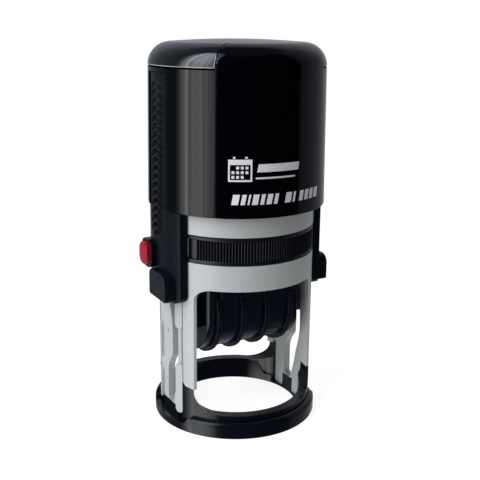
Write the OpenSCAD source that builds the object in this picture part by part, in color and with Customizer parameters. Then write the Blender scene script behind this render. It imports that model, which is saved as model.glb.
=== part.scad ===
// Self-inking rotary date stamp, round imprint. Millimetres.
// Origin: centre of the round base on the table. +Z up, -Y the front, lock button on -X.
// Everything is drawn at rest: handle up, printing die turned up against the ink pad.

/* [Frame] */
// Outer radius of the light frame
frame_r = 21.4; // [21.2:0.05:21.45]
// Half-width of the gap between the two legs
leg_in = 17.4; // [17.3:0.05:17.5]
// Height of the bottom edge of the lower band
band_z = 40.94; // [40.8:0.02:41.1]
// Height of the top of the lower band, where the ink cartridge slides
tray_floor_z = 47.78; // [47.7:0.02:47.85]
// Height of the bottom of the upper band, above the ink cartridge
tray_roof_z = 55.22; // [55.2:0.02:55.3]

/* [Base] */
// Outer radius of the base ring
base_r = 23; // [22.8:0.1:23.2]
// Radius of the opening in the base at the table
print_r = 17.8; // [17.7:0.05:17.9]
// Height of the inner lip
lip_z = 6; // [5.8:0.1:6.2]

/* [Handle] */
// Radius of the handle shell at its bottom edge
shell_r = 24.1; // [24:0.05:24.2]
// Height of the shell's bottom edge
shell_z = 60.85; // [60.5:0.05:61.2]
// Height of the middle of the top
total_h = 104; // [103.8:0.1:104.5]
// Half-width of the two side arms
arm_half = 9.9; // [9.6:0.1:10]

/* [Mechanism] */
// Stroke of the handle
stroke = 34; // [33.8:0.1:34.2]
// Height of the pivot pins at rest
pivot_z = 40.65; // [40.6:0.01:40.7]
// How far the pins swing forward at half stroke
pin_swing = 3.2; // [3.1:0.05:3.25]
// Radius of the pivot pins
pin_r = 1.6; // [1.5:0.05:1.6]
// Height of the date wheels' axis at rest
wheel_z = 31.3; // [31.2:0.05:31.4]
// Radius of the knurled thumb discs
disc_r = 12.4; // [12.2:0.05:12.4]
// Radius of the round rubber text die
die_r = 16; // [15.8:0.1:16]

/* [Hidden] */
$fn = 64;
e = 0.01;
far = 60;

// Base ring
side_floor_z = 2.2;
roll_r = 1.5;
roll_z = 3.0;
groove_z = 4.35;
groove_r = 21.3;
lip_in_r = 18.7;
front_half_deg = 58;
upstand_z = 12.2;
upstand_tip_z = 13.6;
upstand_from_deg = 36;
upstand_to_deg = 71;
upstand_fillet = 5.5;
foot_y = 2.5;
foot_end_y = 7.05;
block_z = 4.65;
toe_x = 18.75;
toe_y = [2.6, 7];
toe_z = 0.6;

// Frame
frame_in_r = 19.4;
wall_in = 18.1;
wall_out = 20;
groove_x = 19.35;
rail_in_x = 18.9;
rail_in_y = 4.8;
rail_out_y = 7.5;
post_y = 7.9;
window_half = 18.25;
window_edge_y = 11.17;
window_fillet = 3.3;
joint_gap = 0.03;
bay_half = 18.4;
upper_top_z = 61.7;
spring_seat_z = 57;
boss_r = 7.8;
boss_top_z = 61.5;

// Cam slot: one arc about a centre behind the frame
half_stroke = stroke / 2;
cam_r = (half_stroke * half_stroke + pin_swing * pin_swing) / (2 * pin_swing);
cam_y = cam_r - pin_swing;
cam_z = pivot_z - half_stroke;
cam_half_deg = asin(half_stroke / cam_r);
slot_half = pin_r + 0.3;

// Handle
shell_top_r = 23.65;
seam_z = 97.0;
seam_gap = 0.35;
shell_in_r = 22.9;
shell_step_z = 96;
dome_in_r = 21.2;
ceiling_z = 100.5;
corner_r = 6;
crown_h = total_h - (seam_z + 0.3) - corner_r;
cover_t = 1.2;
panel_half = 15.5;
panel_in_r = 17.9;
grip_gap_half = 5.3;
strip_half = 4.9;
arm_z = 36.4;
arm_round = 2.2;
arm_in_r = 21.7;
arm_out_r = 23.6;
arm_top_z = 95.9;
strip_round_z = 56.7;
card_r = 15;
card_z = 101.85;

// Pin covers
cover_x = 25.2;
cover_y = [-8.4, 2.3];
cover_z = [36.9, 44.2];

// Lock button, a little behind the middle of the left arm
lock_y = 4.3;
lock_z = 47.7;
lock_face_x = 26.25;
collar_face_x = 25;
button_half = [2.6, 3.1];
button_round = 2.2;
button_t = 1.35;
collar_wall = 0.5;
stem_y = 3.4;
stem_r = 1.2;
stem_end_x = 21.3;
lock_seat_x = 22.5;
lock_coil_r = 1.5;
lock_wire_r = 0.2;

// Carriage
cheek_in = 12.7;
cheek_out = 14.2;
guard_r = 11.2;
die_face_z = 47.3;
die_bottom_z = 45.3;
plate_z = 44.1;
platform_z = 41.5;
shaft_r = 1.6;
drum_r = 8;
band_in_r = 8.15;
band_out_r = 9.2;
bridge_r = 2.05;
bridge_z = 44.1;
band_crest_r = 3.15;
disc_t = 1.3;
disc_x = [3.65, 10.95];
teeth = 56;
drums = [[-10.3, -4.4], [-3.0, -0.15], [0.15, 3.0], [4.4, 10.3]];

// Springs
spring_r = 9;
wire_r = 0.45;
spring_turns = 8.5;
spring_steps = 16;
wire_sides = 6;

// Ink cartridge
tray_half = 18.2;
tray_front_half = 19.3;
tray_front_y = 9.05;
tray_z = [47.9, 55.1];
pad_z = [49.1, 53.2];
pad_r = 16.9;

// ---------- helpers ----------

// A 2-D profile in Y and Z, drawn as (y, z), stretched along X from x1 to x2
module along_x(x1, x2) {
    translate([x1, 0, 0]) rotate([90, 0, 90]) linear_extrude(x2 - x1) children();
}

// A 2-D profile in X and Z, drawn as (x, z), stretched along Y from y1 to y2
module along_y(y1, y2) {
    translate([0, y2, 0]) rotate([90, 0, 0]) linear_extrude(y2 - y1) children();
}

// A round bar along X
module bar_x(x1, x2, r, y, z) {
    translate([x1, y, z]) rotate([0, 90, 0]) cylinder(r = r, h = x2 - x1);
}

// A box from its two opposite corners
module span(a, b) {
    translate(a) cube(b - a);
}

// A tube with square ends
module tube(r_in, r_out, z1, z2) {
    translate([0, 0, z1]) difference() {
        cylinder(r = r_out, h = z2 - z1, $fn = 128);
        translate([0, 0, -e]) cylinder(r = r_in, h = z2 - z1 + 2 * e, $fn = 128);
    }
}

// A wedge of the circle, centred on the front (-Y) and repeated at the rear
module front_rear_wedge(half_deg, z1, z2) {
    for (side = [0, 180]) rotate([0, 0, side - 90 - half_deg]) translate([0, 0, z1])
        rotate_extrude(angle = 2 * half_deg, $fn = 128) square([far, z2 - z1]);
}

// A flat rectangle with round corners, lower ones of radius rb, upper ones of radius rt
module rounded(x1, x2, z1, z2, rb, rt) {
    polygon(concat(
        corner_arc(x2 - rb, z1 + rb, rb, 270), corner_arc(x2 - rt, z2 - rt, rt, 0),
        corner_arc(x1 + rt, z2 - rt, rt, 90), corner_arc(x1 + rb, z1 + rb, rb, 180)));
}

function corner_arc(x, z, r, from) =
    r <= 0 ? [[x, z]] : [for (a = [0:15:90]) [x + r * cos(from + a), z + r * sin(from + a)]];

module mirrored_x() {
    children();
    mirror([1, 0, 0]) children();
}

// ---------- base and frame ----------

module ring_section() {
    polygon(concat([[print_r, 0], [base_r - 0.2, 0], [base_r, 0.3]],
        [for (a = [0:15:75]) [base_r - roll_r + roll_r * cos(a), roll_z + roll_r * sin(a)]],
        [[groove_r, groove_z], [frame_r - 0.03, lip_z - 0.7], [frame_r - 0.15, lip_z - 0.35],
        [frame_r - 0.5, lip_z - 0.1], [frame_r - 0.9, lip_z],
        [lip_in_r + 0.2, lip_z], [lip_in_r, lip_z - 0.2]]));
}

module base_ring() {
    color("#15171c") difference() {
        base_solids();
        toe_pockets();
    }
}

module base_solids() {
    union() {
        // Front and rear: full section with inner lip, groove and outer roll
        intersection() {
            rotate_extrude($fn = 128) ring_section();
            front_rear_wedge(front_half_deg, -1, far);
        }
        // Sides: low floor
        difference() {
            tube(print_r, base_r, 0, side_floor_z);
            front_rear_wedge(front_half_deg - e, -1, far);
        }
        // Blocks that the legs' walls stand on
        intersection() {
            tube(print_r, base_r - 1, 0, block_z);
            span([-wall_out, -rail_in_y + 0.05, -1], [wall_out, rail_in_y - 0.05, far]);
        }
        // Bars that close the bottom of the cam slots
        intersection() {
            tube(print_r, wall_out - 0.1, 0, pivot_z - stroke - pin_r - 0.35);
            span([-far, -foot_y + 0.05, -1], [far, foot_y - 0.05, far]);
        }
        upstands();
    }
}

// Room in the base for the toes of the legs
module toe_pockets() {
    for (s = [-1, 1], t = [0, 1]) mirror([0, t, 0]) mirror([s < 0 ? 1 : 0, 0, 0])
        span([leg_in - 3, toe_y[0] - joint_gap, toe_z - joint_gap], [toe_x + joint_gap, toe_y[1] + joint_gap, far]);
}

// Four upstands under the corner posts, blended into the lip
module upstands() {
    difference() {
        intersection() {
            tube(lip_in_r, frame_r, side_floor_z - 1, far);
            front_rear_wedge(upstand_to_deg, -1, far);
            along_x(-far, far) under_joint(0);
        }
        front_rear_wedge(upstand_from_deg, -1, far);
        along_y(-far, far) rounded(-window_half, window_half, lip_z, far, upstand_fillet, 0);
        span([-far, -foot_end_y, -1], [far, foot_end_y, far]);
        mirrored_x() span([rail_in_x - 0.05, -rail_out_y - 0.05, -1], [far, rail_out_y + 0.05, far]);
    }
}

// What lies under the joint between upstands and corner posts, as (y, z)
module under_joint(lift) {
    polygon([[-far, -2], [far, -2], [far, upstand_z + lift], [11.2, upstand_z + lift],
        [8.6, upstand_z + 0.4 + lift], [7.7, upstand_tip_z + lift],
        [-7.7, upstand_tip_z + lift], [-8.6, upstand_z + 0.4 + lift],
        [-11.2, upstand_z + lift], [-far, upstand_z + lift]]);
}

// Cross-section of the frame between the legs' flats and the round outside
module lower_frame() {
    color("#c9cdcd") difference() {
        union() {
            difference() {
                tube(frame_in_r, frame_r, band_z - window_fillet - 1, tray_floor_z);
                // The arms slide outside the flat walls
                mirrored_x() span([wall_out, -foot_end_y, 0], [far, foot_end_y, far]);
            }
            leg_walls();
        }
        // Front and rear windows
        along_y(-far, far) rounded(-leg_in, leg_in, -1, band_z, 0, window_fillet);
        for (s = [-1, 1])
            along_y(s < 0 ? -far : window_edge_y, s < 0 ? -window_edge_y : far)
                rounded(-window_half, window_half, -1, band_z, 0, window_fillet);
        // The cartridge slides between the side walls above the lower band
        span([-bay_half, -far, tray_floor_z], [bay_half, far, far]);
        span([-far, -far, tray_floor_z], [far, -tray_front_y + 0.1, far]);
        mirrored_x() leg_cuts();
        lock_hole();
    }
}

module leg_walls() {
    intersection() {
        translate([0, 0, toe_z]) cylinder(r = frame_r, h = tray_roof_z - toe_z, $fn = 128);
        mirrored_x() union() {
            // Flat wall with the cam slot
            span([wall_in, -foot_end_y + 0.05, block_z + joint_gap], [wall_out, foot_end_y - 0.05, tray_roof_z]);
            for (s = [0, 1]) mirror([0, s, 0]) span([wall_in, toe_y[0], toe_z], [toe_x, toe_y[1], block_z + 1]);
            // Corner posts, joined to the wall by a groove's floor
            difference() {
                for (s = [0, 1]) mirror([0, s, 0]) {
                    span([wall_in, foot_end_y - 0.3, upstand_z - 1], [groove_x, post_y + 0.3, tray_roof_z]);
                    span([leg_in, post_y, upstand_z - 1], [far, far, tray_roof_z]);
                }
                along_x(-far, far) under_joint(joint_gap);
            }
            guide_rails();
        }
    }
}

// Vertical rails that the arms slide on, with rounded ends
module guide_rails() {
    rail(-rail_out_y, -rail_in_y, 28.6, tray_roof_z - 1);
    rail(-rail_out_y, -rail_in_y, 4, 18.4);
    rail(rail_in_y, rail_out_y, 16.3, 26.7);
    rail(rail_in_y, rail_out_y, 4, 13.2);
    rail(rail_in_y, rail_out_y, 34.5, tray_roof_z - 1);
}

module rail(y1, y2, z1, z2) {
    along_x(rail_in_x, frame_r) rounded(y1, y2, z1, z2, 1.1, 1.1);
}

module leg_cuts() {
    cam_slot();
    // Straight run at the bottom of the slot
    along_x(leg_in - 1, far) lower_run();
    along_x(leg_in - 1, far) upper_run();
    along_x(leg_in - 1, rail_in_x) inner_relief();
    // Clear of the bar in the base
    span([leg_in - 1, -foot_y, -1], [far, foot_y, pivot_z - stroke - pin_r - 0.3]);
}

// The slot runs straight down from its bend, as (y, z)
module lower_run() {
    polygon([[-slot_half, pivot_z - stroke - 1], [slot_half, pivot_z - stroke - 1], [slot_half, 13.6],
        [1.72, 14.7], [1.35, 15.6], [0.7, 16.7], [0, 17.6], [-0.65, 18.4], [-1.3, 19.2], [-2.6, 19.6], [-slot_half, 15]]);
}

// Rear edge of the bend's upper end
module upper_run() {
    polygon([[-2.4, 29], [-0.95, 29.2], [-0.6, 30.6], [-0.1, 31.9], [0.45, 33.1], [1.05, 34.5], [1.5, 35.8],
        [1.78, 37.2], [slot_half - 0.05, 39], [-1, 40], [-2.4, 34]]);
}

// The bend is wider on the inside of the wall
module inner_relief() {
    polygon([[-2.5, 13], [-2.5, 35], [-3.9, 34.2], [-4.8, 32.3], [-5.5, 29.8], [-6, 26.8], [-6.15, 23.8],
        [-6, 21], [-5.5, 18.3], [-4.6, 15.6], [-3.8, 14]]);
}

// Arc slot for a pivot pin, with round ends
module cam_slot() {
    translate([leg_in - 1, cam_y, cam_z]) rotate([90, 0, 90]) rotate([0, 0, 180 - cam_half_deg])
        rotate_extrude(angle = 2 * cam_half_deg, $fn = 256)
            translate([cam_r - slot_half, 0]) square([2 * slot_half, 6]);
    for (z = [pivot_z, pivot_z - stroke]) bar_x(leg_in - 1, leg_in + 5, slot_half - 0.03, 0, z);
}

// Blind hole and dimple behind the left arm, where the lock button sits
module lock_hole() {
    bar_x(-far, -wall_in - 0.8, stem_r + 0.3, stem_y, lock_z);
    // Small dimple
    bar_x(-far, -wall_out + 0.5, 0.5, 1.75, 25.3);
}

module upper_frame() {
    color("#c9cdcd") {
        tube(frame_in_r, frame_r, tray_roof_z, upper_top_z);
        tube(4, frame_in_r + e, tray_roof_z, spring_seat_z);
        tube(boss_r - 1.4, boss_r, spring_seat_z - e, boss_top_z);
    }
}

// Coil spring about the Z axis, between two heights
function coil_point(i, n, r, z1, z2) =
    let (a = 360 * i / spring_steps, t = i / n) [r * cos(a), r * sin(a), z1 + t * (z2 - z1)];

module coil(r, wire, z1, z2, turns) {
    n = round(turns * spring_steps);
    rings = [for (i = [0:n]) let (p = coil_point(i, n, r, z1 + wire, z2 - wire), a = 360 * i / spring_steps)
        for (k = [0:wire_sides - 1]) let (b = 360 * k / wire_sides)
            [p[0] + wire * cos(b) * cos(a), p[1] + wire * cos(b) * sin(a), p[2] + wire * sin(b)]];
    last = n * wire_sides;
    polyhedron(rings, concat(
        [for (i = [0:n - 1]) for (k = [0:wire_sides - 1]) let (m = (k + 1) % wire_sides)
            [i * wire_sides + k, (i + 1) * wire_sides + k, (i + 1) * wire_sides + m, i * wire_sides + m]],
        [[for (k = [0:wire_sides - 1]) k], [for (k = [wire_sides - 1:-1:0]) last + k]]));
}

// From the seat in the frame to the handle's ceiling
module main_spring() {
    color("silver") coil(spring_r, wire_r, spring_seat_z, ceiling_z, spring_turns);
}

// ---------- handle ----------

// Outline of the closed top, inset by d
function top_arc(d) = [for (a = [0:7.125:85.5])
    [shell_top_r - corner_r + (corner_r - d) * cos(a), seam_z + 0.3 + (corner_r - d) * sin(a)]];
function crown(d) = [for (t = [0.75, 0.5, 0.25, 0]) let (r = (shell_top_r - corner_r) * t)
    [r, total_h - d - crown_h * pow(t, 2)]];

module top_solid(d, from_z) {
    rotate_extrude($fn = 128)
        polygon(concat([[0, from_z], [shell_top_r - d, from_z]], top_arc(d), crown(d)));
}

// Tombstone panels at the front and rear that run up over the shoulder
module panels(grow) {
    intersection() {
        along_y(-far, far) rounded(-panel_half - grow, panel_half + grow, seam_z - 2,
            seam_z + 0.3 + corner_r + grow, 0, corner_r + grow);
        difference() {
            translate([0, 0, seam_z - 2]) cylinder(r = far, h = 20);
            translate([0, 0, seam_z - 3]) cylinder(r = panel_in_r - grow, h = 30, $fn = 128);
            span([-far, -8, 0], [far, 8, 200]);
        }
    }
}

module handle_shell() {
    color("#0c0d10") difference() {
        union() {
            // Side wall with a slight draft
            translate([0, 0, shell_z])
                cylinder(r1 = shell_r, r2 = shell_top_r, h = seam_z - shell_z, $fn = 128);
            top_solid(cover_t + 0.1, seam_z - 1);
            intersection() {
                top_solid(0, seam_z - 1);
                panels(0);
            }
        }
        translate([0, 0, shell_z - 1]) cylinder(r = shell_in_r, h = shell_step_z - shell_z + 1, $fn = 128);
        cylinder(r = dome_in_r, h = seam_z + 0.5, $fn = 128);
        translate([0, 0, seam_z]) cylinder(r1 = dome_in_r, r2 = dome_in_r - 2.4, h = ceiling_z - seam_z, $fn = 128);
        // Cut-outs for the grip strips of the arms
        span([-far, -grip_gap_half, 0], [-shell_in_r + 6, grip_gap_half, shell_step_z]);
        span([shell_in_r - 6, -grip_gap_half, 0], [far, grip_gap_half, shell_step_z]);
        // Seat for the index card
        translate([0, 0, card_z - 0.05]) cylinder(r = card_r + 0.3, h = 20, $fn = 128);
    }
    color("#0c0d10") tube(boss_r - 1.4, boss_r, ceiling_z - 4, ceiling_z + 0.1);
}

module top_cover() {
    color("#4a4f55", 0.8) difference() {
        top_solid(0, seam_z - 1);
        top_solid(cover_t, seam_z - 2);
        panels(0.15);
        cylinder(r = far, h = seam_z + seam_gap);
    }
}

module index_card() {
    color("white") translate([0, 0, card_z]) cylinder(r = card_r, h = 0.2, $fn = 128);
}

// One side arm, on +X
module arm() {
    difference() {
        intersection() {
            union() {
                tube(arm_in_r, arm_out_r, arm_z, shell_z - 0.15);
                tube(arm_in_r, shell_in_r - 0.05, arm_z, arm_top_z);
                grip_strip();
            }
            along_x(0, far) rounded(-arm_half, arm_half, arm_z, arm_top_z, arm_round, 0.5);
        }
        pin_window(arm_out_r + 2);
    }
}

// Raised strip for finger and thumb, round at its bottom end
module grip_strip() {
    intersection() {
        difference() {
            translate([0, 0, arm_z]) cylinder(r1 = shell_r, r2 = shell_top_r - 0.3, h = arm_top_z - arm_z, $fn = 128);
            translate([0, 0, arm_z - 1]) cylinder(r = arm_in_r, h = far + 5, $fn = 128);
        }
        along_x(0, far) union() {
            translate([-strip_half, strip_round_z]) square([2 * strip_half, arm_top_z - strip_round_z]);
            translate([0, strip_round_z]) circle(r = strip_half);
        }
    }
}

// Room for a pivot pin as it swings forward
module pin_window(x2) {
    along_x(arm_in_r - 2, x2)
        rounded(-pin_swing - pin_r - 0.3, pin_r + 0.3, pivot_z - pin_r - 0.45, pivot_z + pin_r + 0.45, 1.9, 1.9);
}

module right_arm() {
    color("#2a2d31") arm();
}

module left_arm() {
    color("#2a2d31") difference() {
        mirror([1, 0, 0]) arm();
        bar_x(-far, -arm_in_r + 2, stem_r + 0.08, stem_y, lock_z);
        // Seat of the button's spring
        bar_x(-far, -lock_seat_x, lock_coil_r + 0.55, stem_y, lock_z);
    }
}

module pin_cover() {
    difference() {
        intersection() {
            along_x(arm_in_r, cover_x) pin_cover_outline();
            // Sits on the curved outside of the arm
            tube(arm_out_r + 0.02, far, 0, far);
        }
        pin_window(cover_x - 0.8);
    }
}

// Front top corner is rounder than the rear one
module pin_cover_outline() {
    polygon(concat(
        [[cover_y[1] - 0.4, cover_z[0]], [cover_y[1], cover_z[0] + 0.4]],
        corner_arc(cover_y[1] - 2, cover_z[1] - 2, 2, 0),
        corner_arc(cover_y[0] + 2.6, cover_z[1] - 2.6, 2.6, 90),
        [[cover_y[0], cover_z[0] + 0.4], [cover_y[0] + 0.4, cover_z[0]]]));
}

module right_pin_cover() {
    color("#202328") pin_cover();
}

module left_pin_cover() {
    color("#202328") mirror([1, 0, 0]) pin_cover();
}

// Outline of the lock button, grown by d
module button_outline(d) {
    translate([lock_y, lock_z]) rounded(-button_half[0] - d, button_half[0] + d,
        -button_half[1] - d, button_half[1] + d, button_round + d / 2, button_round + d / 2);
}

module lock_collar() {
    color("#17191d") difference() {
        along_x(-collar_face_x, -arm_out_r + 1.8) button_outline(collar_wall);
        cylinder(r = arm_out_r + 0.02, h = far * 2, $fn = 128);
        along_x(-far, 0) button_outline(0.07);
    }
}

module lock_button() {
    color("#c01030") {
        along_x(-lock_face_x, -lock_face_x + button_t) button_outline(0);
        bar_x(-lock_face_x + button_t - 0.1, -stem_end_x, stem_r, stem_y, lock_z);
    }
}

// Small return spring round the button's stem
module lock_spring() {
    color("silver") translate([-lock_seat_x, stem_y, lock_z]) rotate([0, -90, 0])
        coil(lock_coil_r, lock_wire_r, 0, lock_face_x - button_t - lock_seat_x, 2.5);
}

// ---------- ink cartridge ----------

module cartridge_tray() {
    color("#14161a") difference() {
        intersection() {
            union() {
                tube(10, frame_r, tray_z[0], tray_z[0] + 0.9);
                tube(10, frame_r - 0.35, tray_z[0], tray_z[1]);
                tube(10, frame_r, tray_z[1] - 0.9, tray_z[1]);
                translate([0, 0, pad_z[1]]) cylinder(r = 15, h = tray_z[1] - pad_z[1]);
            }
            // Wider in front of the side walls
            union() {
                span([-tray_half, -far, 0], [tray_half, far, far]);
                span([-tray_front_half, -far, 0], [tray_front_half, -tray_front_y, far]);
            }
        }
        translate([0, 0, tray_z[0] - 1]) cylinder(r = pad_r, h = pad_z[1] - tray_z[0] + 1, $fn = 128);
    }
}

module ink_pad() {
    color("#1d2026") translate([0, 0, pad_z[0]])
        cylinder(r = pad_r - 0.02, h = pad_z[1] - pad_z[0] - 0.01, $fn = 128);
}

// ---------- date carriage ----------

module right_pivot_pin() {
    color("silver") bar_x(cheek_in + 0.1, cover_x - 1.1, pin_r, 0, pivot_z);
}

module left_pivot_pin() {
    color("silver") mirror([1, 0, 0]) bar_x(cheek_in + 0.1, cover_x - 1.1, pin_r, 0, pivot_z);
}

// U outline about the wheel axis: round below, straight sides up to z_top
module u_outline(r, z_top) {
    translate([0, wheel_z]) circle(r = r, $fn = 96);
    translate([-r, wheel_z]) square([2 * r, z_top - wheel_z]);
}

module carriage_frame() {
    color("#1c1f26") difference() {
        intersection() {
            union() {
                mirrored_x() along_x(cheek_in, cheek_out) u_outline(guard_r, plate_z - 0.02);
                span([-cheek_out, -guard_r, platform_z], [cheek_out, guard_r, plate_z - 0.02]);
            }
            union() {
                cylinder(r = 17.6, h = platform_z - 0.5, $fn = 128);
                cylinder(r = 16.1, h = far, $fn = 128);
            }
        }
        // Way through for bands, bridge and discs
        span([-cheek_in, -8.2, 0], [cheek_in, 8.2, far]);
        bar_x(-far, far, shaft_r + 0.02, 0, wheel_z);
        bar_x(-far, far, pin_r + 0.05, 0, pivot_z);
    }
}

// Smooth cover over the bands in three segments, joined by a rim at the top
module wheel_guard() {
    color("#1c1f26") difference() {
        along_x(-cheek_in + 0.02, cheek_in - 0.02) difference() {
            u_outline(guard_r, platform_z - 0.02);
            u_outline(guard_r - 1, far);
        }
        for (x = [-disc_x[1], -disc_x[0], disc_x[0], disc_x[1]])
            span([x - 0.85, -far, 0], [x + 0.85, far, platform_z - 1.6]);
    }
}

module wheel_shaft() {
    color("silver") bar_x(-cheek_out, cheek_out, shaft_r, 0, wheel_z);
}

// Half-round bar that the bands run over, under the window of the die
module band_bridge() {
    color("#1c1f26") difference() {
        union() {
            intersection() {
                bar_x(-cheek_in + 0.02, cheek_in - 0.02, bridge_r, 0, bridge_z);
                span([-10.6, -far, 0], [10.6, far, far]);
            }
            span([-cheek_in + 0.02, -1.7, 42.2], [cheek_in - 0.02, 1.7, die_bottom_z - 0.1]);
        }
        for (x = [-disc_x[1], -disc_x[0], disc_x[0], disc_x[1]])
            span([x - 0.95, -far, 0], [x + 0.95, far, 43.95]);
    }
}

module die_plate() {
    color("#20242c") translate([0, 0, plate_z]) difference() {
        cylinder(r = die_r + 0.2, h = die_bottom_z - plate_z, $fn = 128);
        span([-cheek_in - 0.05, -3.6, -1], [cheek_in + 0.05, 3.6, 5]);
    }
}

// Soft round die with a window for the date
module text_die() {
    color("#3a3036") translate([0, 0, die_bottom_z]) difference() {
        cylinder(r = die_r, h = die_face_z - die_bottom_z, $fn = 128);
        span([-10.7, -3.6, -1], [10.7, 3.6, 5]);
    }
}

// Outline of a belt round the drum and over the bridge
module belt(r1, r2) {
    s = (r1 - r2) / (bridge_z - wheel_z);
    c = sqrt(1 - s * s);
    translate([0, wheel_z]) circle(r = r1, $fn = 96);
    translate([0, bridge_z]) circle(r = r2, $fn = 48);
    polygon([[r1 * c, wheel_z + r1 * s], [r2 * c, bridge_z + r2 * s],
        [-r2 * c, bridge_z + r2 * s], [-r1 * c, wheel_z + r1 * s]]);
}

module band(x1, x2) {
    color("#2b262b") along_x(x1, x2) difference() {
        belt(band_out_r, band_crest_r);
        belt(band_in_r, bridge_r + 0.05);
    }
}

module month_band() { band(drums[0][0] + 0.1, drums[0][1] - 0.1); }
module day_tens_band() { band(drums[1][0] + 0.1, drums[1][1] - 0.1); }
module day_units_band() { band(drums[2][0] + 0.1, drums[2][1] - 0.1); }
module year_band() { band(drums[3][0] + 0.1, drums[3][1] - 0.1); }

// A drum that drives a band, with a knurled thumb disc at x
module date_wheel(drum, x) {
    color("#101216") difference() {
        union() {
            bar_x(min(drum[0], x), max(drum[1], x), drum_r, 0, wheel_z);
            along_x(x - disc_t / 2, x + disc_t / 2) translate([0, wheel_z])
                polygon([for (i = [0:teeth * 2 - 1]) let (a = 180 * i / teeth, r = disc_r - (i % 2) * 0.55)
                    [r * cos(a), r * sin(a)]]);
        }
        bar_x(-far, far, shaft_r + 0.05, 0, wheel_z);
    }
}

module month_wheel() { date_wheel(drums[0], -disc_x[1]); }
module day_tens_wheel() { date_wheel(drums[1], -disc_x[0]); }
module day_units_wheel() { date_wheel(drums[2], disc_x[0]); }
module year_wheel() { date_wheel(drums[3], disc_x[1]); }

// Plate outside a cheek, whose lug is turned over by the frame
module flip_cam() {
    difference() {
        along_x(cheek_out + 0.02, 16.9) union() {
            translate([0, pivot_z]) circle(r = 3.4);
            polygon([[-3.1, pivot_z + 0.8], [-8, 33.6], [-8, 28.6], [-3.9, 28.6], [3.1, pivot_z - 0.8]]);
        }
        bar_x(0, far, pin_r + 0.05, 0, pivot_z);
    }
}

module right_flip_cam() {
    color("#1c1f26") flip_cam();
}

module left_flip_cam() {
    color("#1c1f26") mirror([1, 0, 0]) flip_cam();
}

base_ring();
lower_frame();
upper_frame();
main_spring();
handle_shell();
left_arm();
right_arm();
left_pin_cover();
right_pin_cover();
lock_collar();
index_card();
top_cover();
lock_button();
lock_spring();
cartridge_tray();
ink_pad();
left_pivot_pin();
right_pivot_pin();
carriage_frame();
wheel_guard();
wheel_shaft();
band_bridge();
die_plate();
text_die();
month_band();
day_tens_band();
day_units_band();
year_band();
left_flip_cam();
right_flip_cam();
month_wheel();
day_tens_wheel();
day_units_wheel();
year_wheel();
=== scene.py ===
"""Looks of the rotary date stamp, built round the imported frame.

Blender's unit is the metre. The helpers below take millimetres and turn them into metres, so sizes read as
on a drawing. Angles of lights and walls are counted from the front (-Y), positive towards +X.
"""
import math

import bmesh
import bpy
from mathutils import Matrix, Vector


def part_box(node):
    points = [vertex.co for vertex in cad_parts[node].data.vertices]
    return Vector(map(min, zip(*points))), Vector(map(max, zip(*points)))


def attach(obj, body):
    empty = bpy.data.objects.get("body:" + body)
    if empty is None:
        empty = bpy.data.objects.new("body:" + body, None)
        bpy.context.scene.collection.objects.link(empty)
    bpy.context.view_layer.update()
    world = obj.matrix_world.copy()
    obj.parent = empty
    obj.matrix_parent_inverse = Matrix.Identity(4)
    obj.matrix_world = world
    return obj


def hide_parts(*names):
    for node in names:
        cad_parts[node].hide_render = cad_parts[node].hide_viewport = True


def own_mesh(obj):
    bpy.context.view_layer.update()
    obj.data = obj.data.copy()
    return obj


MM = 0.001
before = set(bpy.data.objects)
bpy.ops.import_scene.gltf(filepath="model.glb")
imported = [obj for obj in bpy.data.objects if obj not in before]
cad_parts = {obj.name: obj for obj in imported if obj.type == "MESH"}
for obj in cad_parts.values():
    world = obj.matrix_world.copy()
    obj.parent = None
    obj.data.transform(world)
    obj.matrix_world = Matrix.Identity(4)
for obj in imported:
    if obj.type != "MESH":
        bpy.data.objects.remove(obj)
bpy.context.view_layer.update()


def box_mm(node):
    """Lowest and highest corner of a CAD node in millimetres."""
    low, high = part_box(node)
    return low / MM, high / MM


# ---------------------------------------------------------------- mesh helpers

def make_object(name, verts, faces):
    """A mesh object from millimetre points."""
    mesh = bpy.data.meshes.new(name)
    mesh.from_pydata([Vector(v) * MM for v in verts], [], faces)
    mesh.validate()
    obj = bpy.data.objects.new(name, mesh)
    bpy.context.scene.collection.objects.link(obj)
    return obj


def clean(obj, weld=1e-6):
    """Welds points and makes the faces' outsides consistent."""
    bm = bmesh.new()
    bm.from_mesh(obj.data)
    bmesh.ops.remove_doubles(bm, verts=bm.verts, dist=weld)
    bmesh.ops.dissolve_degenerate(bm, edges=bm.edges, dist=weld)
    bmesh.ops.recalc_face_normals(bm, faces=bm.faces)
    bm.to_mesh(obj.data)
    bm.free()
    return obj


def arc(cx, cy, r, start, end, steps):
    """Points on an arc, angles in degrees."""
    return [(cx + r * math.cos(math.radians(start + (end - start) * i / steps)),
             cy + r * math.sin(math.radians(start + (end - start) * i / steps))) for i in range(steps + 1)]


def lathe(name, profile, segments=256):
    """Turns a closed (radius, height) outline about Z. Points on the axis are shared."""
    verts, rings = [], []
    for r, z in profile:
        if r < 1e-6:
            rings.append([len(verts)] * segments)
            verts.append((0, 0, z))
        else:
            rings.append(list(range(len(verts), len(verts) + segments)))
            verts += [(r * math.cos(2 * math.pi * i / segments), r * math.sin(2 * math.pi * i / segments), z)
                      for i in range(segments)]
    faces = []
    for a, b in zip(rings, rings[1:] + rings[:1]):
        for i in range(segments):
            j = (i + 1) % segments
            corners = []
            for v in (a[i], a[j], b[j], b[i]):
                if v not in corners:
                    corners.append(v)
            if len(corners) > 2:
                faces.append(corners)
    return clean(make_object(name, verts, faces))


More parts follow.
